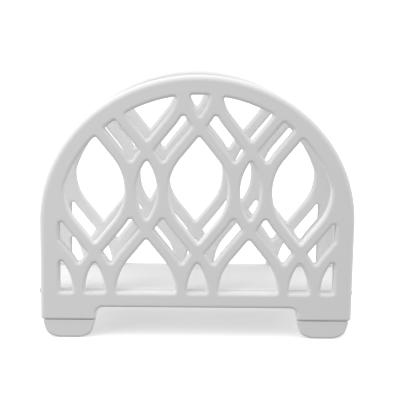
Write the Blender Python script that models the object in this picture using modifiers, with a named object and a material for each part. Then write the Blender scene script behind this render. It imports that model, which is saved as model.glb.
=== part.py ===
"""Napkin holder: two arched lattice castings that face each other across a base plate, each on two feet.

Metres, +Z up. The front panel faces -Y. The origin is on the table, under the middle of the holder.
"""

import math

import bmesh
import bpy
from mathutils import Matrix, Vector

# Overall form
holder_width = 0.160
holder_depth = 0.065
springing_height = 0.0609
arch_rise = 0.0743

# Panel casting
panel_thickness = 0.0070
frame_width = 0.0098
rail_underside_height = 0.0162
cell_floor_height = 0.0243
leg_width = 0.0282
leg_notch_radius = 0.0037
panel_edge_radius = 0.0016

# Lattice: strands swing from row to row between two bends
column_spacing = 0.0524
row_spacing = 0.0525
lowest_row_height = 0.0248
narrow_pair_spacing = 0.0163
strand_width = 0.0061
strand_bend_radius = 0.0285
cell_corner_radius = 0.0010
smallest_cell_area = 0.0000180

# Base plate
plate_overhang = 0.0015
plate_thickness = 0.0042
plate_end_radius = 0.0036
plate_edge_radius = 0.0005

# Lugs that carry the base plate
lug_width = 0.0140
lug_reach = 0.0150
lug_thickness = 0.0032
lug_spacing = 0.0700

# Feet
foot_height = 0.0095
foot_outer_inset = 0.0010
foot_inner_inset = 0.0002
foot_face_inset = 0.0006
foot_taper = 0.0020
foot_corner_height = 0.0018
foot_flat_inset = 0.0080
foot_corner_radius = 0.0055
foot_flat_end_radius = 0.0060
foot_edge_radius = 0.0007

# Locating pip on each foot
pip_radius = 0.0013
pip_length = 0.0020
pip_offset = 0.0075

# Screws that hold the base plate
base_screw_radius = 0.0020
base_screw_head_radius = 0.0039
base_screw_head_height = 0.0025
base_screw_engagement = 0.0028
base_recess_width = 0.0009
base_recess_length = 0.0040
base_recess_depth = 0.0013

# Screws that hold the feet
foot_screw_radius = 0.0010
foot_screw_head_radius = 0.0018
foot_screw_head_height = 0.0014
foot_screw_engagement = 0.0052
foot_counterbore_depth = 0.0024
foot_recess_width = 0.0005
foot_recess_length = 0.0021
foot_recess_depth = 0.0007

# Pan heads, as shares of the head
head_rim_share = 0.4
head_flat_share = 0.55
tip_chamfer_share = 0.3

# Fits
seam_gap = 0.0003
cut_overrun = 0.0020

# Points closer than this are one point, first in an outline and then in a mesh
nearest_points = 0.00003
weld_distance = 0.000003

# Fineness of the outlines, in counts
bend_steps = 4
corner_steps = 3
arch_steps = 36
frame_clip_steps = 28
round_sides = 16
head_steps = 2

# The longest step round a large corner
corner_step_length = 0.0014

# A turn sharper than this is a corner of a cell, and not a step along a bend
corner_turn = math.radians(20)

half_width = holder_width / 2
panel_middle = holder_depth / 2 - panel_thickness / 2
leg_bottom_height = foot_height + seam_gap
plate_underside = cell_floor_height - plate_thickness
lug_top = plate_underside - seam_gap
lug_underside = lug_top - lug_thickness
leg_middle = half_width - leg_width / 2
foot_outer_side = half_width - foot_outer_inset
foot_inner_side = half_width - leg_width + foot_inner_inset
foot_middle = (foot_outer_side + foot_inner_side) / 2
foot_thickness = panel_thickness - 2 * foot_face_inset
lug_screw_depth = lug_reach - lug_width / 2


def clear_scene():
    for obj in list(bpy.data.objects):
        bpy.data.objects.remove(obj, do_unlink=True)


def new_collection(name, hidden):
    collection = bpy.data.collections.new(name)
    collection.hide_render = hidden
    bpy.context.scene.collection.children.link(collection)
    return collection


def painted(name, colour, roughness, metallic):
    material = bpy.data.materials.new(name)
    material.use_nodes = True
    shader = material.node_tree.nodes["Principled BSDF"]
    shader.inputs["Base Color"].default_value = colour
    shader.inputs["Roughness"].default_value = roughness
    shader.inputs["Metallic"].default_value = metallic
    return material


# Lattice outlines, in the panel's own plane

def straight_angle():
    """The angle from upright of a strand's straight run, which is tangent to the bends at both rows."""
    sideways = column_spacing / 2 - 2 * strand_bend_radius
    between_centres = math.hypot(sideways, row_spacing)
    return math.atan2(sideways, row_spacing) + math.asin(2 * strand_bend_radius / between_centres)


def strand_edge(start, row, heading, side):
    """One edge of a strand from a row up to the next: a bend, a straight run and a bend back to upright.

    The strand is at x = start on the row. Heading is 1 to the right and -1 to the left, and side
    is 1 for the strand's right edge and -1 for its left edge.
    """
    angle = straight_angle()
    shift = side * strand_width / 2
    lower_centre = start + heading * strand_bend_radius
    lower_radius = strand_bend_radius - heading * shift
    upper_centre = start + heading * (column_spacing / 2 - strand_bend_radius)
    upper_radius = strand_bend_radius + heading * shift
    points = []
    for step in range(bend_steps + 1):
        turn = angle * step / bend_steps
        x = lower_centre - heading * lower_radius * math.cos(turn)
        points.append((x, row + lower_radius * math.sin(turn)))
    for step in range(bend_steps, -1, -1):
        turn = angle * step / bend_steps
        x = upper_centre + heading * upper_radius * math.cos(turn)
        points.append((x, row + row_spacing - upper_radius * math.sin(turn)))
    return points


def crossing(first, second):
    """Where two polylines cross: the point, and the number of the segment of each that holds it."""
    for i in range(len(first) - 1):
        for j in range(len(second) - 1):
            (ax, ay), (bx, by) = first[i], first[i + 1]
            (cx, cy), (dx, dy) = second[j], second[j + 1]
            area = (bx - ax) * (dy - cy) - (by - ay) * (dx - cx)
            if area == 0:
                continue
            along = ((cx - ax) * (dy - cy) - (cy - ay) * (dx - cx)) / area
            across = ((cx - ax) * (by - ay) - (cy - ay) * (bx - ax)) / area
            if 0 <= along <= 1 and 0 <= across <= 1:
                return (ax + along * (bx - ax), ay + along * (by - ay)), i, j
    raise ValueError("two edges of a cell do not cross")


def lens_cell(middle, row, half_spacing):
    """The upright cell round a row, between two strands that close above and below it."""
    edge = strand_edge(middle + half_spacing, row, -1, -1)
    axis = [(middle, row), (middle, row + row_spacing)]
    tip, last, _ = crossing(edge, axis)
    quarter = [(x - middle, z - row) for x, z in edge[: last + 1]] + [(0, tip[1] - row)]
    upper = quarter + [(-x, z) for x, z in reversed(quarter[:-1])]
    lower = [(x, -z) for x, z in reversed(upper[1:-1])]
    return [(middle + x, row + z) for x, z in upper + lower]


def slanted_cell(start, end, row):
    """The cell between two pairs of crossing strands, from x = start on a row to x = end on the next."""
    half_step = column_spacing / 2
    sides = [
        strand_edge(start, row, 1, -1),
        strand_edge(end + half_step, row, -1, -1),
        strand_edge(end - half_step, row, 1, 1)[::-1],
        strand_edge(start, row, -1, 1)[::-1],
    ]
    outline = []
    for i, side in enumerate(sides):
        corner, first, _ = crossing(side, sides[i - 1])
        _, last, _ = crossing(side, sides[(i + 1) % len(sides)])
        outline += [corner] + side[first + 1 : last + 1]
    return outline


def inner_frame():
    """The frame's inner outline, counter-clockwise from its lower left corner: a convex region."""
    side = half_width - frame_width
    rise = arch_rise - frame_width
    outline = [(-side, cell_floor_height), (side, cell_floor_height)]
    for step in range(frame_clip_steps + 1):
        turn = math.pi * step / frame_clip_steps
        outline.append((side * math.cos(turn), springing_height + rise * math.sin(turn)))
    return outline


def clipped(outline, region):
    """The part of an outline inside a convex region."""
    for (ax, az), (bx, bz) in zip(region, region[1:] + region[:1]):
        kept = []
        inside = [(bx - ax) * (z - az) - (bz - az) * (x - ax) for x, z in outline]
        for i, point in enumerate(outline):
            before, here = inside[i - 1], inside[i]
            if (before < 0) != (here < 0):
                share = before / (before - here)
                start = Vector(outline[i - 1])
                kept.append(tuple(start.lerp(Vector(point), share)))
            if here >= 0:
                kept.append(point)
        outline = kept
        if not outline:
            break
    return outline


def area_of(outline):
    following = outline[1:] + outline[:1]
    return sum(ax * bz - bx * az for (ax, az), (bx, bz) in zip(outline, following)) / 2


def turn_at(before, corner, after):
    """The change of direction at a corner, positive to the left."""
    arriving = Vector(corner) - Vector(before)
    leaving = Vector(after) - Vector(corner)
    return math.atan2(arriving.cross(leaving), arriving.dot(leaving))


def sides_between_corners(outline):
    """Cuts a closed outline at its corners into the sides between them."""
    points = [p for i, p in enumerate(outline) if (Vector(p) - Vector(outline[i - 1])).length > nearest_points]
    count = len(points)
    corners = []
    for i in range(count):
        if abs(turn_at(points[i - 1], points[i], points[(i + 1) % count])) > corner_turn:
            corners.append(i)
    sides = []
    for first, last in zip(corners, corners[1:] + [corners[0] + count]):
        sides.append([points[i % count] for i in range(first, last + 1)])
    return sides


def length_of(side):
    return sum((Vector(b) - Vector(a)).length for a, b in zip(side, side[1:]))


def shortened(side, cut):
    """A side less the given length of its start."""
    for i in range(len(side) - 1):
        step = (Vector(side[i + 1]) - Vector(side[i])).length
        if cut < step:
            start = Vector(side[i]).lerp(Vector(side[i + 1]), cut / step)
            return [tuple(start)] + side[i + 1 :]
        cut -= step
    return side[-2:]


def bend_between(arriving, leaving, radius):
    """The points of a rounded corner between the end of one side and the start of the next."""
    start, end = Vector(arriving[-1]), Vector(leaving[0])
    heading_in = (start - Vector(arriving[-2])).normalized()
    heading_out = (Vector(leaving[1]) - end).normalized()
    turn = abs(math.atan2(heading_in.cross(heading_out), heading_in.dot(heading_out)))
    handle = 4 / 3 * math.tan(turn / 4) * radius
    first, second = start + heading_in * handle, end - heading_out * handle
    steps = max(corner_steps, math.ceil(radius * turn / corner_step_length))
    points = []
    for step in range(1, steps):
        t = step / steps
        s = 1 - t
        blend = start * s**3 + first * 3 * s * s * t + second * 3 * s * t * t + end * t**3
        points.append(tuple(blend))
    return points


def rounded(sides, radii):
    """A closed outline from sides that meet at corners, where radii holds the corner at each side's start.

    A side too short for the corners at its two ends makes both of them smaller.
    """
    count = len(sides)
    half_turns = [math.tan(abs(turn_at(sides[i - 1][-2], *sides[i][:2])) / 2) for i in range(count)]
    wanted = [radius * half_turn for radius, half_turn in zip(radii, half_turns)]
    room = []
    for i, side in enumerate(sides):
        needed = wanted[i] + wanted[(i + 1) % count] + nearest_points
        room.append(min(1, length_of(side) / needed))
    cuts = [wanted[i] * min(room[i - 1], room[i]) for i in range(count)]
    trimmed = []
    for i, side in enumerate(sides):
        kept = shortened(side, cuts[i])
        trimmed.append(shortened(kept[::-1], cuts[(i + 1) % count])[::-1])
    outline = []
    for i, side in enumerate(trimmed):
        if cuts[i] > 0:
            outline += bend_between(trimmed[i - 1], side, cuts[i] / half_turns[i]) + side
        else:
            outline += side[1:]
    return outline


def lattice_cells():
    """Every opening of the lattice that lies inside the frame, with rounded corners."""
    narrow = narrow_pair_spacing / 2
    wide = (column_spacing - narrow_pair_spacing) / 2
    columns = math.ceil(holder_width / column_spacing)
    rows = math.ceil((springing_height + arch_rise - lowest_row_height) / row_spacing)
    found = []
    for row_number in range(rows + 1):
        row = lowest_row_height + row_number * row_spacing
        offset = 0 if row_number % 2 else column_spacing / 2
        for column in range(-columns, columns + 1):
            middle = column * column_spacing + offset
            found.append(lens_cell(middle, row, wide))
            found.append(lens_cell(middle + column_spacing / 2, row, narrow))
            for way in (-1, 1):
                found.append(slanted_cell(middle + way * wide, middle + way * narrow, row))
    frame = inner_frame()
    cells = []
    for outline in found:
        inside = clipped(outline, frame)
        if inside and area_of(inside) > smallest_cell_area:
            sides = sides_between_corners(inside)
            cells.append(rounded(sides, [cell_corner_radius] * len(sides)))
    return cells


def panel_outline():
    """The outside of a panel: two legs, the rail between them, and the arch."""
    leg_inside = half_width - leg_width
    arch = []
    for step in range(arch_steps + 1):
        turn = math.pi * step / arch_steps
        arch.append((half_width * math.cos(turn), springing_height + arch_rise * math.sin(turn)))
    sides = [
        [(-half_width, leg_bottom_height), (-leg_inside, leg_bottom_height)],
        [(-leg_inside, leg_bottom_height), (-leg_inside, rail_underside_height)],
        [(-leg_inside, rail_underside_height), (leg_inside, rail_underside_height)],
        [(leg_inside, rail_underside_height), (leg_inside, leg_bottom_height)],
        [(leg_inside, leg_bottom_height), (half_width, leg_bottom_height)],
        [(half_width, leg_bottom_height)] + arch + [(-half_width, leg_bottom_height)],
    ]
    return rounded(sides, [0, 0, leg_notch_radius, leg_notch_radius, 0, 0])


# Solids

def plate_from_outlines(name, outlines, thickness, edge_radius):
    """A plate upright in the XZ plane, centred on y = 0: the first outline is its outside, the rest its openings."""
    data = bpy.data.curves.new(name, "CURVE")
    data.dimensions = "2D"
    data.fill_mode = "BOTH"
    data.extrude = thickness / 2 - edge_radius
    data.bevel_depth = edge_radius
    data.bevel_resolution = 0
    data.offset = -edge_radius
    for outline in outlines:
        spline = data.splines.new("POLY")
        spline.points.add(len(outline) - 1)
        for point, (x, z) in zip(spline.points, outline):
            point.co = (x, z, 0, 1)
        spline.use_cyclic_u = True
    obj = bpy.data.objects.new(name, data)
    bpy.context.scene.collection.objects.link(obj)
    mesh = mesh_of(obj)
    mesh.transform(Matrix.Rotation(math.radians(90), 4, "X"))
    bpy.data.objects.remove(obj, do_unlink=True)
    bpy.data.curves.remove(data)
    return mesh


def mesh_of(obj):
    """The object's evaluated mesh in its own space, with loose caps joined to their walls."""
    bpy.context.view_layer.update()
    evaluated = obj.evaluated_get(bpy.context.evaluated_depsgraph_get())
    mesh = bpy.data.meshes.new_from_object(evaluated)
    bm = bmesh.new()
    bm.from_mesh(mesh)
    bmesh.ops.remove_doubles(bm, verts=bm.verts, dist=weld_distance)
    bmesh.ops.recalc_face_normals(bm, faces=bm.faces)
    bm.to_mesh(mesh)
    bm.free()
    return mesh


def cylinder(name, radius, bottom, top, x=0, y=0):
    """An upright cylinder between two heights."""
    bm = bmesh.new()
    bmesh.ops.create_cone(
        bm,
        cap_ends=True,
        segments=round_sides,
        radius1=radius,
        radius2=radius,
        depth=top - bottom,
        matrix=Matrix.Translation((x, y, (bottom + top) / 2)),
    )
    mesh = bpy.data.meshes.new(name)
    bm.to_mesh(mesh)
    bm.free()
    return mesh


def box(name, low, high):
    """A box between two corners."""
    low, high = Vector(low), Vector(high)
    size = high - low
    bm = bmesh.new()
    spread = Matrix.Translation((low + high) / 2) @ Matrix.Diagonal((*size, 1))
    bmesh.ops.create_cube(bm, size=1, matrix=spread)
    mesh = bpy.data.meshes.new(name)
    bm.to_mesh(mesh)
    bm.free()
    return mesh


def combined(name, base, joined=(), cut=()):
    """A mesh with others joined to it and then others cut from it."""
    obj = bpy.data.objects.new(name, base)
    cutters.objects.link(obj)
    helpers = []
    for operation, meshes in (("UNION", joined), ("DIFFERENCE", cut)):
        for other in meshes:
            helper = bpy.data.objects.new(f"{name}_{operation.lower()}_{len(helpers)}", other)
            helper.hide_render = True
            helper.display_type = "WIRE"
            cutters.objects.link(helper)
            helpers.append(helper)
            modifier = obj.modifiers.new(operation.title(), "BOOLEAN")
            modifier.operation = operation
            modifier.object = helper
    mesh = mesh_of(obj)
    for helper in helpers + [obj]:
        bpy.data.objects.remove(helper, do_unlink=True)
    mesh.name = name
    return mesh


def lug(x):
    """A round-ended lug that stands out behind a panel, under the base plate, with its root in the panel."""
    radius = lug_width / 2
    end = panel_thickness / 2 + lug_reach - radius
    outline = [(x - radius, 0), (x + radius, 0)]
    for step in range(round_sides // 2 + 1):
        turn = 2 * math.pi * step / round_sides
        outline.append((x + radius * math.cos(turn), end + radius * math.sin(turn)))
    bm = bmesh.new()
    floor = bm.faces.new([bm.verts.new((px, py, lug_underside)) for px, py in outline])
    raised = bmesh.ops.extrude_face_region(bm, geom=[floor])["geom"]
    lifted = [item for item in raised if isinstance(item, bmesh.types.BMVert)]
    bmesh.ops.translate(bm, verts=lifted, vec=(0, 0, lug_thickness))
    bmesh.ops.recalc_face_normals(bm, faces=bm.faces)
    mesh = bpy.data.meshes.new("lug")
    bm.to_mesh(mesh)
    bm.free()
    return mesh


def panel_mesh():
    """A lattice casting with its front face towards -Y and its middle on y = 0."""
    outlines = [panel_outline()] + lattice_cells()
    plate = plate_from_outlines("panel", outlines, panel_thickness, panel_edge_radius)
    lugs = []
    holes = []
    for way in (-1, 1):
        x = way * lug_spacing / 2
        y = panel_thickness / 2 + lug_screw_depth
        lugs.append(lug(x))
        hole = base_screw_radius + seam_gap
        holes.append(cylinder("lug_hole", hole, lug_underside - cut_overrun, lug_top + cut_overrun, x, y))
        top = leg_bottom_height + foot_screw_engagement + seam_gap
        radius = foot_screw_radius + seam_gap
        low = leg_bottom_height - cut_overrun
        holes.append(cylinder("leg_hole", radius, low, top, way * foot_middle))
        pip_top = foot_height + pip_length + seam_gap
        holes.append(cylinder("pip_hole", pip_radius + seam_gap, low, pip_top, way * (foot_middle + pip_offset)))
    return combined("panel", plate, lugs, holes)


def foot_outline():
    """A left foot seen from the front: its sides lean in, and its underside rises from a flat to the corners."""
    outer, inner = -foot_outer_side, -foot_inner_side
    corners = [
        (outer + foot_flat_inset, 0),
        (inner - foot_flat_inset, 0),
        (inner - foot_taper, foot_corner_height),
        (inner, foot_height),
        (outer, foot_height),
        (outer + foot_taper, foot_corner_height),
    ]
    sides = [[start, end] for start, end in zip(corners, corners[1:] + corners[:1])]
    flat_end, corner = foot_flat_end_radius, foot_corner_radius
    return rounded(sides, [flat_end, flat_end, corner, 0, 0, corner])


def foot_mesh():
    """The left foot of the front panel, with its middle on y = 0."""
    block = plate_from_outlines("foot", [foot_outline()], foot_thickness, foot_edge_radius)
    x = -foot_middle
    pip_x = x - pip_offset
    pip = cylinder("pip", pip_radius, foot_height - cut_overrun, foot_height + pip_length, pip_x)
    shank_hole = cylinder("shank_hole", foot_screw_radius + seam_gap, -cut_overrun, foot_height + cut_overrun, x)
    head_hole = cylinder("head_hole", foot_screw_head_radius + seam_gap, -cut_overrun, foot_counterbore_depth, x)
    return combined("foot", block, [pip], [shank_hole, head_hole])


def plate_mesh():
    """The base plate: napkins stand on it, and its ends are rounded underneath."""
    end = half_width + plate_overhang
    low, high = plate_underside, cell_floor_height
    sides = [
        [(-end, low), (end, low)],
        [(end, low), (end, high)],
        [(end, high), (-end, high)],
        [(-end, high), (-end, low)],
    ]
    outline = rounded(sides, [plate_end_radius, plate_end_radius, plate_edge_radius, plate_edge_radius])
    depth = holder_depth - 2 * panel_thickness - 2 * seam_gap
    slab = plate_from_outlines("base_plate", [outline], depth, plate_edge_radius)
    holes = []
    for x, y in base_screw_places():
        top = plate_underside + base_screw_engagement + seam_gap
        holes.append(cylinder("plate_hole", base_screw_radius + seam_gap, low - cut_overrun, top, x, y))
    return combined("base_plate", slab, [], holes)


def base_screw_places():
    y = panel_middle - panel_thickness / 2 - lug_screw_depth
    return [(sx * lug_spacing / 2, sy * y) for sy in (-1, 1) for sx in (-1, 1)]


def turned(name, profile):
    """A solid of revolution about Z, from the outside of its half section, top to bottom."""
    data = bpy.data.meshes.new(name)
    data.from_pydata([(r, 0, z) for r, z in profile], [(i, i + 1) for i in range(len(profile) - 1)], [])
    obj = bpy.data.objects.new(name, data)
    cutters.objects.link(obj)
    screw = obj.modifiers.new("Turn", "SCREW")
    screw.axis = "Z"
    screw.steps = round_sides
    screw.render_steps = round_sides
    screw.use_merge_vertices = True
    screw.merge_threshold = weld_distance
    mesh = mesh_of(obj)
    bpy.data.objects.remove(obj, do_unlink=True)
    bpy.data.meshes.remove(data)
    return mesh


def screw_mesh(name, radius, bearing, tip, head_radius, head_height, recess):
    """A pan-head screw driven from below: its head hangs under the bearing height, with a cross recess."""
    width, length, depth = recess
    head_bottom = bearing - head_height
    rim_bottom = bearing - head_height * head_rim_share
    flat = head_radius * head_flat_share
    chamfer = radius * tip_chamfer_share
    profile = [(0, tip), (radius - chamfer, tip), (radius, tip - chamfer), (radius, bearing), (head_radius, bearing)]
    for step in range(head_steps + 1):
        turn = math.pi / 2 * step / head_steps
        z = rim_bottom + (head_bottom - rim_bottom) * math.sin(turn)
        profile.append((flat + (head_radius - flat) * math.cos(turn), z))
    profile.append((0, head_bottom))
    low = head_bottom - cut_overrun
    high = head_bottom + depth
    slot = box(f"{name}_slot", (-length / 2, -width / 2, low), (length / 2, width / 2, high))
    cross_slot = box(f"{name}_cross_slot", (-width / 2, -length / 2, low), (width / 2, length / 2, high))
    return combined(name, turned(name, profile), [], [slot, cross_slot])


def base_screw_mesh():
    bearing = lug_underside - seam_gap
    tip = plate_underside + base_screw_engagement
    recess = (base_recess_width, base_recess_length, base_recess_depth)
    head = (base_screw_head_radius, base_screw_head_height)
    return screw_mesh("base_screw", base_screw_radius, bearing, tip, *head, recess)


def foot_screw_mesh():
    bearing = foot_counterbore_depth - seam_gap
    tip = leg_bottom_height + foot_screw_engagement
    recess = (foot_recess_width, foot_recess_length, foot_recess_depth)
    head = (foot_screw_head_radius, foot_screw_head_height)
    return screw_mesh("foot_screw", foot_screw_radius, bearing, tip, *head, recess)


def place(name, mesh, material, location=(0, 0, 0), half_turn=False):
    """One named piece from a mesh, in the holder's collection."""
    mesh.shade_smooth()
    mesh.set_sharp_from_angle(angle=corner_turn)
    if not mesh.materials:
        mesh.materials.append(material)
    obj = bpy.data.objects.new(name, mesh)
    obj.location = location
    obj.rotation_euler.z = math.pi if half_turn else 0
    pieces.objects.link(obj)
    return obj


def mirrored(mesh, name):
    """The same mesh reflected left to right."""
    copy = mesh.copy()
    copy.name = name
    copy.transform(Matrix.Diagonal((-1, 1, 1, 1)))
    copy.flip_normals()
    return copy


def build():
    white = painted("white_enamel", (0.78, 0.78, 0.78, 1), 0.42, 0.0)
    steel = painted("zinc_steel", (0.55, 0.56, 0.58, 1), 0.35, 1.0)
    panel = panel_mesh()
    place("front_panel", panel, white, (0, -panel_middle, 0))
    place("back_panel", panel, white, (0, panel_middle, 0), half_turn=True)
    place("base_plate", plate_mesh(), white)
    left_foot = foot_mesh()
    right_foot = mirrored(left_foot, "right_foot")
    place("front_left_foot", left_foot, white, (0, -panel_middle, 0))
    place("front_right_foot", right_foot, white, (0, -panel_middle, 0))
    place("back_left_foot", right_foot, white, (0, panel_middle, 0), half_turn=True)
    place("back_right_foot", left_foot, white, (0, panel_middle, 0), half_turn=True)
    corners = ("front_left", "front_right", "back_left", "back_right")
    base_screw = base_screw_mesh()
    for corner, (x, y) in zip(corners, base_screw_places()):
        place(f"{corner}_base_screw", base_screw, steel, (x, y, 0))
    foot_screw = foot_screw_mesh()
    for corner in corners:
        x = foot_middle if "right" in corner else -foot_middle
        y = panel_middle if "back" in corner else -panel_middle
        place(f"{corner}_foot_screw", foot_screw, steel, (x, y, 0))


clear_scene()
pieces = new_collection("napkin_holder", False)
cutters = new_collection("cutters", True)
build()
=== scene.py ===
"""A white cast-metal napkin holder: two arched lattice panels, a base plate and four feet.

Metres, +Z up, the front panel towards -Y. The origin is on the floor, under the holder's middle.
"""

import math

import bmesh
import bpy
from mathutils import Matrix, Vector


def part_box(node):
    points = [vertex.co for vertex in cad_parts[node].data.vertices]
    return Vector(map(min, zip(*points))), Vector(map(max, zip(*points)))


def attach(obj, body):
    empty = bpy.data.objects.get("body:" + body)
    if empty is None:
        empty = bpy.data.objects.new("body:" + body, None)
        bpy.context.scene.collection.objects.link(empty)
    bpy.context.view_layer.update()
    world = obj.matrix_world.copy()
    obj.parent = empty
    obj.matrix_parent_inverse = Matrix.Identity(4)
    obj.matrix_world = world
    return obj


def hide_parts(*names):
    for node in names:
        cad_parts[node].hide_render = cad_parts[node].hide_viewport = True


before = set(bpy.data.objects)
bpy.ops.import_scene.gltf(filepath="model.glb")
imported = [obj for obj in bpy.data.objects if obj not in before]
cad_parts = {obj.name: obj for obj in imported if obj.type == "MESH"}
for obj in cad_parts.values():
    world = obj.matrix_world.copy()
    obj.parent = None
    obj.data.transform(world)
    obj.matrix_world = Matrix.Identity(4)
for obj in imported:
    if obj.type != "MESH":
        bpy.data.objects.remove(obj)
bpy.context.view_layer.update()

# Overall form
half_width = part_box("front_panel")[1][0]
holder_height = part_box("front_panel")[1][2]
front_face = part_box("front_panel")[0][1]
springing_height = 0.0609
arch_rise = holder_height - springing_height

# Panel casting
panel_thickness = 0.0070
frame_width = 0.0098
rail_underside_height = 0.0162
leg_width = 0.0282
leg_notch_radius = 0.0039
leg_outer_corner_radius = 0.0018
leg_inner_corner_radius = 0.0013
arch_rim = 0.0027
rail_rim = 0.0017
cell_rim = 0.0018
leg_end_rim = 0.0011
leg_end_ramp = 0.0040

# Lattice: strands swing from row to row between two bends
column_spacing = 0.0524
row_spacing = 0.0525
lowest_row_height = 0.0248
narrow_pair_spacing = 0.0163
strand_width = 0.0061
strand_bend_radius = 0.0285
cell_corner_radius = 0.0010
smallest_cell_area = 0.0000180

# Base plate, lugs and feet
plate_end_radius = 0.0032
plate_corner_radius = 0.0008
plate_rim = 0.0005
lug_width = 0.0140
lug_spacing = 0.0700
lug_corner_radius = 0.0009
lug_rim = 0.0006
base_screw_hole_radius = 0.0023
foot_taper = 0.0020
foot_flat_inset = 0.0080
foot_corner_height = 0.0018
foot_corner_radius = 0.0055
foot_flat_end_radius = 0.0060
foot_shoulder_radius = 0.0008
foot_rim = 0.0013
foot_shoulder_rim = 0.0006
foot_shoulder_ramp = 0.0030
foot_screw_hole_radius = 0.0021
foot_counterbore_depth = 0.0024
base_screw_head_height = 0.0025
seam = 0.0003

# Fineness of the outlines
nearest_points = 0.00003
weld_distance = 0.00001
bend_steps = 12
corner_steps = 6
corner_step_length = 0.0004
arch_steps = 120
round_sides = 64
rim_steps = 6
corner_turn = math.radians(16)

# Enamel: noise scales per metre, and the height of each kind of unevenness
cast_scale = 230
cast_height = 0.00016
pit_scale = 700
pit_height = 0.00003
peel_scale = 2600
peel_height = 0.000006
tone_scale = 60
darker_enamel = (0.755, 0.755, 0.750, 1)
lighter_enamel = (0.815, 0.815, 0.812, 1)
enamel_roughness = 0.27
enamel_roughness_spread = 0.14
enamel_specular = 0.45

# Zinc plate
tarnish_scale = 900
grain_scale = 6000
grain_height = 0.00001
darker_zinc = (0.42, 0.43, 0.45, 1)
lighter_zinc = (0.62, 0.62, 0.61, 1)
zinc_roughness = 0.25
zinc_roughness_spread = 0.2

# Backdrop
cove_start = 3.0
cove_radius = 6.0
cove_turn = math.radians(60)
cove_steps = 24
paper_scale = 3
darker_paper = (0.90, 0.90, 0.90, 1)
lighter_paper = (0.93, 0.93, 0.93, 1)
paper_roughness = 0.9
# painted light: the floor and wall glow white, which lifts the holder's shadow on them, and the glow
# lights nothing
painted_floor_glow = 0.35

# Lights: the softbox's side is the direction towards it, and its spread is in degrees
tent_base = 0.15
tent_left = 0.9
tent_right = 1.2
tent_top = 1.2
softbox_strength = 0.6
softbox_spread = 60
softbox_side = (-0.30, -0.10, 0.95)
lamp_position = (-0.55, -0.45, 0.35)
lamp_size = 0.5
lamp_power = 1.4

# Camera: its lens and sensor in millimetres, and its angles in degrees
camera_position = (-0.01283, -0.50332, 0.15593)
camera_lens = 85.5
camera_sensor = 36
camera_near_limit = 0.01
camera_yaw = -1.656
camera_pitch = 10.013
camera_roll = 0.904

# What the CAD gives
plate_low, plate_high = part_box("base_plate")
foot_low, foot_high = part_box("front_left_foot")
cell_floor_height = plate_high[2]
leg_bottom_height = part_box("front_panel")[0][2]
lug_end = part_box("front_panel")[1][1]


class Wire:
    """The output of a node. Arithmetic on wires and numbers makes maths nodes."""

    def __init__(self, tree, socket):
        self.tree = tree
        self.socket = socket

    @staticmethod
    def node(tree, kind, inputs=None, output=0, **settings):
        """A node of any type, its inputs given by name or number: the wire from one output."""
        made = tree.nodes.new(kind)
        for name, value in settings.items():
            setattr(made, name, value)
        for name, value in (inputs or {}).items():
            plug(tree, made.inputs[name], value)
        return Wire(tree, made.outputs[output])

    def beside(self, output):
        """The wire from another output of the same node."""
        return Wire(self.tree, self.socket.node.outputs[output])

    def maths(self, operation, *terms):
        """A scalar or vector maths node, whichever the terms need."""
        is_vector = any(isinstance(term, Wire) and term.socket.type == "VECTOR" for term in terms)
        kind = "ShaderNodeVectorMath" if is_vector else "ShaderNodeMath"
        return Wire.node(self.tree, kind, dict(enumerate(terms)), operation=operation)

    def __add__(self, other):
        return self.maths("ADD", self, other)

    def __radd__(self, other):
        return self.maths("ADD", other, self)

    def __sub__(self, other):
        return self.maths("SUBTRACT", self, other)

    def __rsub__(self, other):
        return self.maths("SUBTRACT", other, self)

    def __mul__(self, other):
        return self.maths("MULTIPLY", self, other)

    def __rmul__(self, other):
        return self.maths("MULTIPLY", other, self)

    def __truediv__(self, other):
        return self.maths("DIVIDE", self, other)

    def __rtruediv__(self, other):
        return self.maths("DIVIDE", other, self)

    def __neg__(self):
        return -1 * self

    def __gt__(self, other):
        return self.maths("GREATER_THAN", self, other)

    def sine(self):
        return self.maths("SINE", self)

    def cosine(self):
        return self.maths("COSINE", self)

    def at_least(self, other):
        return self.maths("MAXIMUM", self, other)

    def at_most(self, other):
        return self.maths("MINIMUM", self, other)


def plug(tree, socket, value):
    """Links a wire to a socket, or sets the socket's own value."""
    if isinstance(value, Wire):
        tree.links.new(value.socket, socket)
    elif socket.type == "VECTOR" and isinstance(value, (int, float)):
        socket.default_value = (value, value, value)
    else:
        socket.default_value = value


# Materials

def new_material(name):
    material = bpy.data.materials.new(name)
    material.use_nodes = True
    return material, material.node_tree, material.node_tree.nodes["Principled BSDF"]


def noise(tree, place, scale, detail):
    return Wire.node(tree, "ShaderNodeTexNoise", {"Vector": place, "Scale": scale, "Detail": detail})


def blend(tree, share, low, high):
    """A colour between two others."""
    return Wire.node(tree, "ShaderNodeMix", {0: share, 6: low, 7: high}, output=2, data_type="RGBA")


def enamel():
    """Satin white paint over a sand casting: an uneven surface, small pits and a fine orange peel.

    No piece shows it yet, for the reason that joined gives.
    """
    material, tree, shader = new_material("white_enamel")
    place = Wire.node(tree, "ShaderNodeTexCoord", output="Object")
    cast = noise(tree, place, cast_scale, 3)
    pits = noise(tree, place, pit_scale, 2)
    peel = noise(tree, place, peel_scale, 1)
    tone = blend(tree, noise(tree, place, tone_scale, 4), darker_enamel, lighter_enamel)
    height = cast * cast_height + pits * pit_height + peel * peel_height
    bump = Wire.node(tree, "ShaderNodeBump", {"Height": height, "Strength": 1.0, "Distance": 1.0})
    plug(tree, shader.inputs["Base Color"], tone)
    plug(tree, shader.inputs["Roughness"], cast * enamel_roughness_spread + enamel_roughness)
    plug(tree, shader.inputs["Normal"], bump)
    shader.inputs["Specular IOR Level"].default_value = enamel_specular
    return material


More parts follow.
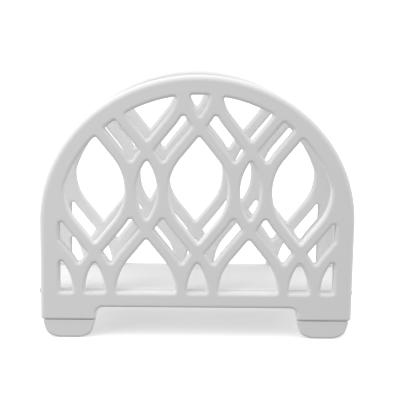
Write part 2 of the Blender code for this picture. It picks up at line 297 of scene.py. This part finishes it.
def plated_steel():
    """Zinc plate with a fine grain and slight tarnish."""
    material, tree, shader = new_material("zinc_steel")
    place = Wire.node(tree, "ShaderNodeTexCoord", output="Object")
    tarnish = noise(tree, place, tarnish_scale, 4)
    grain = noise(tree, place, grain_scale, 2) * grain_height
    tone = blend(tree, tarnish, darker_zinc, lighter_zinc)
    bump = Wire.node(tree, "ShaderNodeBump", {"Height": grain, "Strength": 1.0, "Distance": 1.0})
    plug(tree, shader.inputs["Base Color"], tone)
    plug(tree, shader.inputs["Roughness"], tarnish * zinc_roughness_spread + zinc_roughness)
    plug(tree, shader.inputs["Normal"], bump)
    shader.inputs["Metallic"].default_value = 1.0
    return material


# Lattice outlines, in the panel's own plane

def straight_angle():
    """The angle from upright of a strand's straight run, tangent to the bends at both rows."""
    sideways = column_spacing / 2 - 2 * strand_bend_radius
    between_centres = math.hypot(sideways, row_spacing)
    return math.atan2(sideways, row_spacing) + math.asin(2 * strand_bend_radius / between_centres)


def strand_edge(start, row, heading, side):
    """One edge of a strand from a row up to the next: a bend, a straight run and a bend back.

    The strand is at x = start on the row. Heading is 1 to the right and -1 to the left, and side
    is 1 for the strand's right edge and -1 for its left edge.
    """
    angle = straight_angle()
    shift = side * strand_width / 2
    lower_centre = start + heading * strand_bend_radius
    lower_radius = strand_bend_radius - heading * shift
    upper_centre = start + heading * (column_spacing / 2 - strand_bend_radius)
    upper_radius = strand_bend_radius + heading * shift
    points = []
    for step in range(bend_steps + 1):
        turn = angle * step / bend_steps
        x = lower_centre - heading * lower_radius * math.cos(turn)
        points.append((x, row + lower_radius * math.sin(turn)))
    for step in range(bend_steps, -1, -1):
        turn = angle * step / bend_steps
        x = upper_centre + heading * upper_radius * math.cos(turn)
        points.append((x, row + row_spacing - upper_radius * math.sin(turn)))
    return points


def crossing(first, second):
    """Where two polylines cross: the point, and the number of the segment of each that holds it."""
    for i in range(len(first) - 1):
        for j in range(len(second) - 1):
            (ax, ay), (bx, by) = first[i], first[i + 1]
            (cx, cy), (dx, dy) = second[j], second[j + 1]
            area = (bx - ax) * (dy - cy) - (by - ay) * (dx - cx)
            if area == 0:
                continue
            along = ((cx - ax) * (dy - cy) - (cy - ay) * (dx - cx)) / area
            across = ((cx - ax) * (by - ay) - (cy - ay) * (bx - ax)) / area
            if 0 <= along <= 1 and 0 <= across <= 1:
                return (ax + along * (bx - ax), ay + along * (by - ay)), i, j
    raise ValueError("two edges of a cell do not cross")


def lens_cell(middle, row, half_spacing):
    """The upright cell round a row, between two strands that close above and below it."""
    edge = strand_edge(middle + half_spacing, row, -1, -1)
    tip, last, _ = crossing(edge, [(middle, row), (middle, row + row_spacing)])
    quarter = [(x - middle, z - row) for x, z in edge[: last + 1]] + [(0, tip[1] - row)]
    upper = quarter + [(-x, z) for x, z in reversed(quarter[:-1])]
    lower = [(x, -z) for x, z in reversed(upper[1:-1])]
    return [(middle + x, row + z) for x, z in upper + lower]


def slanted_cell(start, end, row):
    """The cell between two crossing pairs of strands, from x = start on a row to x = end above."""
    half_step = column_spacing / 2
    sides = [
        strand_edge(start, row, 1, -1),
        strand_edge(end + half_step, row, -1, -1),
        strand_edge(end - half_step, row, 1, 1)[::-1],
        strand_edge(start, row, -1, 1)[::-1],
    ]
    outline = []
    for i, side in enumerate(sides):
        corner, first, _ = crossing(side, sides[i - 1])
        _, last, _ = crossing(side, sides[(i + 1) % len(sides)])
        outline += [corner] + side[first + 1 : last + 1]
    return outline


def inner_frame():
    """The frame's inner outline, counter-clockwise from its lower left corner: a convex region."""
    side = half_width - frame_width
    rise = arch_rise - frame_width
    outline = [(-side, cell_floor_height), (side, cell_floor_height)]
    for step in range(arch_steps + 1):
        turn = math.pi * step / arch_steps
        outline.append((side * math.cos(turn), springing_height + rise * math.sin(turn)))
    return outline


def clipped(outline, region):
    """The part of an outline inside a convex region."""
    for (ax, az), (bx, bz) in zip(region, region[1:] + region[:1]):
        kept = []
        inside = [(bx - ax) * (z - az) - (bz - az) * (x - ax) for x, z in outline]
        for i, point in enumerate(outline):
            before, here = inside[i - 1], inside[i]
            if (before < 0) != (here < 0):
                share = before / (before - here)
                kept.append(tuple(Vector(outline[i - 1]).lerp(Vector(point), share)))
            if here >= 0:
                kept.append(point)
        outline = kept
        if not outline:
            break
    return outline


def area_of(outline):
    following = outline[1:] + outline[:1]
    return sum(ax * bz - bx * az for (ax, az), (bx, bz) in zip(outline, following)) / 2


def turn_at(before, corner, after):
    """The change of direction at a corner, positive to the left."""
    arriving = Vector(corner) - Vector(before)
    leaving = Vector(after) - Vector(corner)
    return math.atan2(arriving.cross(leaving), arriving.dot(leaving))


def sides_between_corners(outline):
    """Cuts a closed outline at its corners into the sides between them."""
    points = []
    for i, point in enumerate(outline):
        if (Vector(point) - Vector(outline[i - 1])).length > nearest_points:
            points.append(point)
    count = len(points)
    corners = []
    for i in range(count):
        if abs(turn_at(points[i - 1], points[i], points[(i + 1) % count])) > corner_turn:
            corners.append(i)
    sides = []
    for first, last in zip(corners, corners[1:] + [corners[0] + count]):
        sides.append([points[i % count] for i in range(first, last + 1)])
    return sides


def length_of(side):
    return sum((Vector(b) - Vector(a)).length for a, b in zip(side, side[1:]))


def shortened(side, cut):
    """A side less the given length of its start."""
    for i in range(len(side) - 1):
        step = (Vector(side[i + 1]) - Vector(side[i])).length
        if cut < step:
            start = Vector(side[i]).lerp(Vector(side[i + 1]), cut / step)
            return [tuple(start)] + side[i + 1 :]
        cut -= step
    return side[-2:]


def bend_between(arriving, leaving, radius):
    """The points of a rounded corner between the end of one side and the start of the next."""
    start, end = Vector(arriving[-1]), Vector(leaving[0])
    heading_in = (start - Vector(arriving[-2])).normalized()
    heading_out = (Vector(leaving[1]) - end).normalized()
    turn = abs(math.atan2(heading_in.cross(heading_out), heading_in.dot(heading_out)))
    handle = 4 / 3 * math.tan(turn / 4) * radius
    first, second = start + heading_in * handle, end - heading_out * handle
    steps = max(corner_steps, math.ceil(radius * turn / corner_step_length))
    points = []
    for step in range(1, steps):
        t = step / steps
        s = 1 - t
        point = start * s**3 + first * 3 * s * s * t + second * 3 * s * t * t + end * t**3
        points.append(tuple(point))
    return points


def rounded(sides, radii):
    """A closed outline from sides that meet at corners. Radii holds the corner at each side's start.

    A side that is too short for the radii at its ends takes smaller ones.
    """
    count = len(sides)
    half_turns = [math.tan(abs(turn_at(sides[i - 1][-2], *sides[i][:2])) / 2) for i in range(count)]
    wanted = [radius * half_turn for radius, half_turn in zip(radii, half_turns)]
    room = []
    for i, side in enumerate(sides):
        room.append(min(1, length_of(side) / (wanted[i] + wanted[(i + 1) % count] + nearest_points)))
    cuts = [wanted[i] * min(room[i - 1], room[i]) for i in range(count)]
    trimmed = []
    for i, side in enumerate(sides):
        kept = shortened(side, cuts[i])
        trimmed.append(shortened(kept[::-1], cuts[(i + 1) % count])[::-1])
    outline = []
    for i, side in enumerate(trimmed):
        outline += bend_between(trimmed[i - 1], side, cuts[i] / half_turns[i]) + side
    return outline


def lattice_cells():
    """Every opening of the lattice that lies inside the frame, with rounded corners."""
    narrow = narrow_pair_spacing / 2
    wide = (column_spacing - narrow_pair_spacing) / 2
    columns = math.ceil(2 * half_width / column_spacing)
    rows = math.ceil((holder_height - lowest_row_height) / row_spacing)
    found = []
    for row_number in range(rows + 1):
        row = lowest_row_height + row_number * row_spacing
        offset = 0 if row_number % 2 else column_spacing / 2
        for column in range(-columns, columns + 1):
            middle = column * column_spacing + offset
            found.append(lens_cell(middle, row, wide))
            found.append(lens_cell(middle + column_spacing / 2, row, narrow))
            for way in (-1, 1):
                found.append(slanted_cell(middle + way * wide, middle + way * narrow, row))
    region = inner_frame()
    cells = []
    for outline in found:
        inside = clipped(outline, region)
        if inside and area_of(inside) > smallest_cell_area:
            sides = sides_between_corners(inside)
            cells.append(rounded(sides, [cell_corner_radius] * len(sides)))
    return cells


def panel_outline():
    """The outside of a panel: two legs, the rail between them, and the arch."""
    leg_inside = half_width - leg_width
    arch = []
    for step in range(arch_steps + 1):
        turn = math.pi * step / arch_steps
        arch.append((half_width * math.cos(turn), springing_height + arch_rise * math.sin(turn)))
    sides = [
        [(-half_width, leg_bottom_height), (-leg_inside, leg_bottom_height)],
        [(-leg_inside, leg_bottom_height), (-leg_inside, rail_underside_height)],
        [(-leg_inside, rail_underside_height), (leg_inside, rail_underside_height)],
        [(leg_inside, rail_underside_height), (leg_inside, leg_bottom_height)],
        [(leg_inside, leg_bottom_height), (half_width, leg_bottom_height)],
        [(half_width, leg_bottom_height)] + arch + [(-half_width, leg_bottom_height)],
    ]
    outer, inner, notch = leg_outer_corner_radius, leg_inner_corner_radius, leg_notch_radius
    return rounded(sides, [outer, inner, notch, notch, inner, outer])


def panel_rims(outline):
    """The edge radius at each point of a panel's outside: wide round the arch, least at leg ends."""
    leg_inside = half_width - leg_width
    rims = []
    for x, z in outline:
        is_outer = abs(x) > leg_inside + leg_notch_radius or z > springing_height
        full = arch_rim if is_outer else rail_rim
        share = min(1, (z - leg_bottom_height) / leg_end_ramp)
        rims.append(leg_end_rim + (full - leg_end_rim) * share)
    return rims


def box_outline(low, high, radii):
    """A rectangle between two corners, with its own radius at each corner from the lower left."""
    (left, bottom), (right, top) = low, high
    corners = [(left, bottom), (right, bottom), (right, top), (left, top)]
    return rounded([[a, b] for a, b in zip(corners, corners[1:] + corners[:1])], radii)


def circle(x, y, radius):
    """A clockwise circle, for a hole."""
    turns = [-2 * math.pi * step / round_sides for step in range(round_sides)]
    return [(x + radius * math.cos(turn), y + radius * math.sin(turn)) for turn in turns]


# Rounded plates, by Geometry Nodes

def group_socket(tree, name, kind, is_output=False):
    direction = "OUTPUT" if is_output else "INPUT"
    return tree.interface.new_socket(name, in_out=direction, socket_type=kind)


def capture(tree, geometry, name, kind, source):
    """Stores a source node's field on the points of a geometry: the geometry and the field."""
    value = Wire.node(tree, source)
    made = Wire.node(tree, "GeometryNodeCaptureAttribute").socket.node
    made.capture_items.new(kind, name)
    plug(tree, made.inputs[0], geometry)
    plug(tree, made.inputs[1], value)
    return Wire(tree, made.outputs[0]), Wire(tree, made.outputs[1])


def plate_nodes():
    """Node group: flat outlines become a plate whose edges are rounded by each point's own radius.

    The outline of the outside runs counter-clockwise and those of the openings clockwise, so the
    curve normal points out of the metal on all of them.
    """
    tree = bpy.data.node_groups.new("rounded_plate", "GeometryNodeTree")
    group_socket(tree, "Outlines", "NodeSocketGeometry")
    group_socket(tree, "Thickness", "NodeSocketFloat")
    group_socket(tree, "Rim Steps", "NodeSocketInt")
    group_socket(tree, "Material", "NodeSocketMaterial")
    group_socket(tree, "Plate", "NodeSocketGeometry", is_output=True)
    outlines = Wire.node(tree, "NodeGroupInput")
    thickness, steps, material = [outlines.beside(number) for number in (1, 2, 3)]

    upright = Wire.node(tree, "GeometryNodeSetCurveNormal", {"Curve": outlines}, mode="Z_UP")
    curve, rim = capture(tree, upright, "Rim", "FLOAT", "GeometryNodeInputRadius")
    curve, centre = capture(tree, curve, "Centre", "VECTOR", "GeometryNodeInputPosition")
    curve, outward = capture(tree, curve, "Outward", "VECTOR", "GeometryNodeInputNormal")

    line = Wire.node(tree, "GeometryNodeCurvePrimitiveLine")
    section = Wire.node(tree, "GeometryNodeResampleCurve", {"Curve": line, "Count": steps * 2 + 2})
    section, number = capture(tree, section, "Number", "FLOAT", "GeometryNodeInputIndex")

    is_back = number > steps
    along = (number - is_back * (steps + 1)) / steps
    turn = (1 - is_back - along) * (math.pi / 2)
    side = 1 - 2 * is_back
    reach = rim * (turn.cosine() - 1)
    rise = side * (thickness / 2 - rim) + rim * turn.sine()
    lift = Wire.node(tree, "ShaderNodeCombineXYZ", {"Z": rise})
    swept = Wire.node(tree, "GeometryNodeCurveToMesh", {"Curve": curve, "Profile Curve": section})
    swept = Wire.node(tree, "GeometryNodeSetShadeSmooth", {"Geometry": swept, "Shade Smooth": True})
    place = centre + outward * reach + lift
    edge = Wire.node(tree, "GeometryNodeSetPosition", {"Geometry": swept, "Position": place})

    inset = Wire.node(tree, "GeometryNodeSetPosition", {"Geometry": curve, "Offset": outward * -rim})
    cap = Wire.node(tree, "GeometryNodeFillCurve", {"Curve": inset}, mode="TRIANGLES")
    cap = Wire.node(tree, "GeometryNodeSetShadeSmooth", {"Geometry": cap, "Shade Smooth": False})
    half = Wire.node(tree, "ShaderNodeCombineXYZ", {"Z": thickness / 2})
    front = Wire.node(tree, "GeometryNodeSetPosition", {"Geometry": cap, "Offset": half})
    turned = Wire.node(tree, "GeometryNodeFlipFaces", {"Mesh": cap})
    back = Wire.node(tree, "GeometryNodeSetPosition", {"Geometry": turned, "Offset": -half})

    whole = Wire.node(tree, "GeometryNodeJoinGeometry")
    for part in (edge, front, back):
        plug(tree, whole.socket.node.inputs[0], part)
    near = {"Geometry": whole, "Distance": weld_distance}
    welded = Wire.node(tree, "GeometryNodeMergeByDistance", near)
    painted = Wire.node(tree, "GeometryNodeSetMaterial", {"Geometry": welded, "Material": material})
    real = Wire.node(tree, "GeometryNodeRealizeInstances", {"Geometry": painted})
    end = tree.nodes.new("NodeGroupOutput")
    plug(tree, end.inputs[0], real)
    return tree


def outline_curve(name, outlines, rims):
    """A flat curve with a spline for each outline and the edge radius as its points' radius."""
    data = bpy.data.curves.new(name, "CURVE")
    data.dimensions = "3D"
    for outline, sizes in zip(outlines, rims):
        spline = data.splines.new("POLY")
        spline.points.add(len(outline) - 1)
        for point, (x, y), size in zip(spline.points, outline, sizes):
            point.co = (x, y, 0, 1)
            point.radius = size
        spline.use_cyclic_u = True
    return data


def plate(name, outside, openings, thickness, rims, material):
    """The mesh of a rounded plate, flat on the XY plane.

    Rims holds, for each outline, one edge radius or a list with a radius for each point. Round an
    outward corner it is less than the corner's own radius, or the flat faces would fold there.
    """
    outlines = []
    for i, outline in enumerate([outside] + openings):
        is_clockwise = area_of(outline) < 0
        outlines.append(outline if is_clockwise == (i > 0) else outline[::-1])
    sizes = [rim if isinstance(rim, list) else [rim] * len(line) for rim, line in zip(rims, outlines)]
    if outlines[0] is not outside:
        sizes[0] = sizes[0][::-1]
    data = outline_curve(name, outlines, sizes)
    obj = bpy.data.objects.new(name, data)
    bpy.context.scene.collection.objects.link(obj)
    modifier = obj.modifiers.new("Plate", "NODES")
    modifier.node_group = plate_group
    values = {"Thickness": thickness, "Rim Steps": rim_steps, "Material": material}
    for item in plate_group.interface.items_tree:
        if item.name in values:
            modifier[item.identifier] = values[item.name]
    mesh = evaluated_mesh(obj)
    bpy.data.objects.remove(obj, do_unlink=True)
    bpy.data.curves.remove(data)
    return mesh


def evaluated_mesh(obj):
    bpy.context.view_layer.update()
    evaluated = obj.evaluated_get(bpy.context.evaluated_depsgraph_get())
    return bpy.data.meshes.new_from_object(evaluated)


def upright(mesh, y):
    """Stands a flat plate up with its front towards -Y and its middle at the given y."""
    mesh.transform(Matrix.Translation((0, y, 0)) @ Matrix.Rotation(math.radians(90), 4, "X"))
    return mesh


def joined(name, meshes):
    """One mesh from several plates.

    A known fault: a plate comes from the nodes with an empty first slot and its faces on the second,
    which holds the enamel. Only the empty slot is kept here, so the piece shows the default surface.
    """
    bm = bmesh.new()
    for mesh in meshes:
        bm.from_mesh(mesh)
    bmesh.ops.recalc_face_normals(bm, faces=bm.faces)
    whole = bpy.data.meshes.new(name)
    bm.to_mesh(whole)
    bm.free()
    whole.materials.append(meshes[0].materials[0])
    return whole


def drilled(name, mesh, x, y, steps):
    """A mesh with an upright stepped hole cut in it: steps holds each radius, bottom and top."""
    obj = bpy.data.objects.new(name, mesh)
    bpy.context.scene.collection.objects.link(obj)
    drills = []
    for radius, low, high in steps:
        bm = bmesh.new()
        spot = Matrix.Translation((x, y, (low + high) / 2))
        sizes = {"radius1": radius, "radius2": radius, "depth": high - low}
        bmesh.ops.create_cone(bm, cap_ends=True, segments=round_sides, matrix=spot, **sizes)
        data = bpy.data.meshes.new(f"{name}_drill")
        bm.to_mesh(data)
        bm.free()
        drill = bpy.data.objects.new(f"{name}_drill", data)
        bpy.context.scene.collection.objects.link(drill)
        drills.append(drill)
        cut = obj.modifiers.new("Drill", "BOOLEAN")
        cut.object = drill
    result = evaluated_mesh(obj)
    for leftover in drills + [obj]:
        bpy.data.objects.remove(leftover, do_unlink=True)
    return result


# The holder's pieces

def panel_mesh(material):
    """A lattice casting, with the two lugs behind its rail that carry the base plate."""
    outside = panel_outline()
    cells = lattice_cells()
    rims = [panel_rims(outside)] + [cell_rim] * len(cells)
    middle = front_face + panel_thickness / 2
    lattice = upright(plate("panel", outside, cells, panel_thickness, rims, material), middle)
    lug_top = plate_low[2] - seam
    lug_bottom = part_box("front_left_base_screw")[0][2] + base_screw_head_height + seam
    parts = [lattice]
    for way in (-1, 1):
        x = way * lug_spacing / 2
        radius = lug_width / 2
        low = (x - radius, middle)
        root = lug_corner_radius
        outline = box_outline(low, (x + radius, lug_end), [root, root, radius, radius])
        hole = circle(x, lug_end - radius, base_screw_hole_radius)
        lug = plate("lug", outline, [hole], lug_top - lug_bottom, [lug_rim, lug_rim / 2], material)
        lug.transform(Matrix.Translation((0, 0, (lug_top + lug_bottom) / 2)))
        parts.append(lug)
    return joined("panel", parts)


def foot_outline():
    """A left foot from the front: its sides lean in, and its underside rises towards them."""
    outer, inner, top = foot_low[0], foot_high[0], leg_bottom_height - seam
    corners = [
        (outer + foot_flat_inset, 0),
        (inner - foot_flat_inset, 0),
        (inner - foot_taper, foot_corner_height),
        (inner, top),
        (outer, top),
        (outer + foot_taper, foot_corner_height),
    ]
    flat_end, corner, shoulder = foot_flat_end_radius, foot_corner_radius, foot_shoulder_radius
    sides = [[a, b] for a, b in zip(corners, corners[1:] + corners[:1])]
    return rounded(sides, [flat_end, flat_end, corner, shoulder, shoulder, corner])


def foot_mesh(material):
    """The left foot of the front panel, with the counterbored hole for its screw."""
    outline = foot_outline()
    top = leg_bottom_height - seam
    rims = []
    for _, z in outline:
        share = min(1, (top - z) / foot_shoulder_ramp)
        rims.append(foot_shoulder_rim + (foot_rim - foot_shoulder_rim) * share)
    thickness = foot_high[1] - foot_low[1]
    y = (foot_high[1] + foot_low[1]) / 2
    foot = upright(plate("foot", outline, [], thickness, [rims], material), y)
    x = (foot_low[0] + foot_high[0]) / 2
    steps = [(foot_screw_hole_radius, -seam, foot_counterbore_depth)]
    return drilled("foot", joined("foot", [foot]), x, y, steps)


def plate_mesh(material):
    """The base plate, rounded underneath at its ends."""
    end, edge = plate_end_radius, plate_corner_radius
    low, high = (plate_low[0], plate_low[2]), (plate_high[0], plate_high[2])
    outline = box_outline(low, high, [end, end, edge, edge])
    flat = plate("base_plate", outline, [], plate_high[1] - plate_low[1], [plate_rim], material)
    return joined("base_plate", [upright(flat, 0)])


def moved(mesh, name, matrix):
    """A copy of a mesh, turned or mirrored, with its faces still outward."""
    copy = mesh.copy()
    copy.name = name
    copy.transform(matrix)
    if matrix.determinant() < 0:
        copy.flip_normals()
    return copy


def show(node_name, mesh):
    """Puts a piece in the scene in place of the CAD node of that name."""
    piece = bpy.data.objects.new(f"{node_name}_cast", mesh)
    bpy.context.scene.collection.objects.link(piece)
    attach(piece, "root")
    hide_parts(node_name)
    return piece


# Studio

def tent():
    """The light of a white tent: strong above and at the sides, little in front and below."""
    world = bpy.data.worlds.new("tent")
    world.use_nodes = True
    tree = world.node_tree
    direction = Wire.node(tree, "ShaderNodeTexCoord", output="Generated")
    across = Wire.node(tree, "ShaderNodeSeparateXYZ", {"Vector": direction})
    left = across.at_most(0)
    right = across.at_least(0)
    above = across.beside("Z").at_least(0)
    sides = left * left * tent_left + right * right * tent_right
    strength = sides + above * above * tent_top + tent_base
    plug(tree, tree.nodes["Background"].inputs["Strength"], strength)
    tree.nodes["Background"].inputs["Color"].default_value = (1, 1, 1, 1)
    return world


def backdrop():
    """A round white floor whose rim rises into a far wall, with a painted glow that lightens the
    holder's shadow on it.

    It shows and takes shadows, and the tent lights the holder through it, so the tent's lower half
    stands for the light that the floor returns.
    """
    profile = [(0, 0), (cove_start, 0)]
    for step in range(1, cove_steps + 1):
        turn = cove_turn * step / cove_steps
        reach = cove_start + cove_radius * math.sin(turn)
        profile.append((reach, cove_radius * (1 - math.cos(turn))))
    bm = bmesh.new()
    points = [bm.verts.new((reach, 0, height)) for reach, height in profile]
    edges = [bm.edges.new(pair) for pair in zip(points, points[1:])]
    around = {"axis": (0, 0, 1), "cent": (0, 0, 0), "angle": 2 * math.pi, "steps": round_sides}
    bmesh.ops.spin(bm, geom=points + edges, **around)
    bmesh.ops.remove_doubles(bm, verts=bm.verts, dist=nearest_points)
    bmesh.ops.recalc_face_normals(bm, faces=bm.faces)
    mesh = bpy.data.meshes.new("backdrop")
    bm.to_mesh(mesh)
    bm.free()
    if mesh.polygons[0].normal.z < 0:
        mesh.flip_normals()
    mesh.shade_smooth()
    material, tree, shader = new_material("backdrop_paper")
    place = Wire.node(tree, "ShaderNodeTexCoord", output="Object")
    tone = blend(tree, noise(tree, place, paper_scale, 2), darker_paper, lighter_paper)
    plug(tree, shader.inputs["Base Color"], tone)
    shader.inputs["Roughness"].default_value = paper_roughness
    # Painted light: a white glow on the paper that lightens the holder's cast shadow on the floor.
    # The holder doesn't see it, so it lights nothing.
    shader.inputs["Emission Color"].default_value = (1, 1, 1, 1)
    shader.inputs["Emission Strength"].default_value = painted_floor_glow
    mesh.materials.append(material)
    floor = bpy.data.objects.new("backdrop", mesh)
    bpy.context.scene.collection.objects.link(floor)
    floor.visible_diffuse = False
    floor.visible_glossy = False
    floor.visible_shadow = False


def light(data, position):
    """Hangs a light at a position and turns it to the holder."""
    data.color = (1, 1, 1)
    holder = bpy.data.objects.new(data.name, data)
    holder.location = position
    holder.rotation_euler = (-Vector(position)).to_track_quat("-Z", "Y").to_euler()
    bpy.context.scene.collection.objects.link(holder)


def studio():
    """The backdrop in a tent of soft light, with a softbox above it and a lamp at the left."""
    backdrop()
    bpy.context.scene.world = tent()
    softbox = bpy.data.lights.new("softbox", "SUN")
    softbox.energy = softbox_strength
    softbox.angle = math.radians(softbox_spread)
    light(softbox, softbox_side)
    lamp = bpy.data.lights.new("left_lamp", "AREA")
    lamp.energy = lamp_power
    lamp.size = lamp_size
    light(lamp, lamp_position)


def camera():
    """The camera that took the photograph, found from the holder's outline in it."""
    data = bpy.data.cameras.new("photo_camera")
    data.sensor_width = camera_sensor
    data.lens = camera_lens
    data.clip_start = camera_near_limit
    viewer = bpy.data.objects.new("photo_camera", data)
    turn = Matrix.Rotation(math.radians(camera_yaw), 4, "Z")
    tilt = Matrix.Rotation(math.radians(90 - camera_pitch), 4, "X")
    lean = Matrix.Rotation(math.radians(camera_roll), 4, "Z")
    viewer.matrix_world = Matrix.Translation(camera_position) @ turn @ tilt @ lean
    bpy.context.scene.collection.objects.link(viewer)
    bpy.context.scene.camera = viewer
    bpy.context.scene.view_settings.view_transform = "Standard"


plate_group = plate_nodes()
white = enamel()
steel = plated_steel()

panel = panel_mesh(white)
half_turn = Matrix.Rotation(math.pi, 4, "Z")
mirror = Matrix.Diagonal((-1, 1, 1, 1))
show("front_panel", panel)
show("back_panel", moved(panel, "back_panel", half_turn))
show("base_plate", plate_mesh(white))
foot = foot_mesh(white)
show("front_left_foot", foot)
show("front_right_foot", moved(foot, "front_right_foot", mirror))
show("back_left_foot", moved(foot, "back_left_foot", half_turn @ mirror))
show("back_right_foot", moved(foot, "back_right_foot", half_turn))
for name, cad_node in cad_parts.items():
    if name.endswith("screw"):
        cad_node.data.materials.clear()
        cad_node.data.materials.append(steel)

studio()
camera()
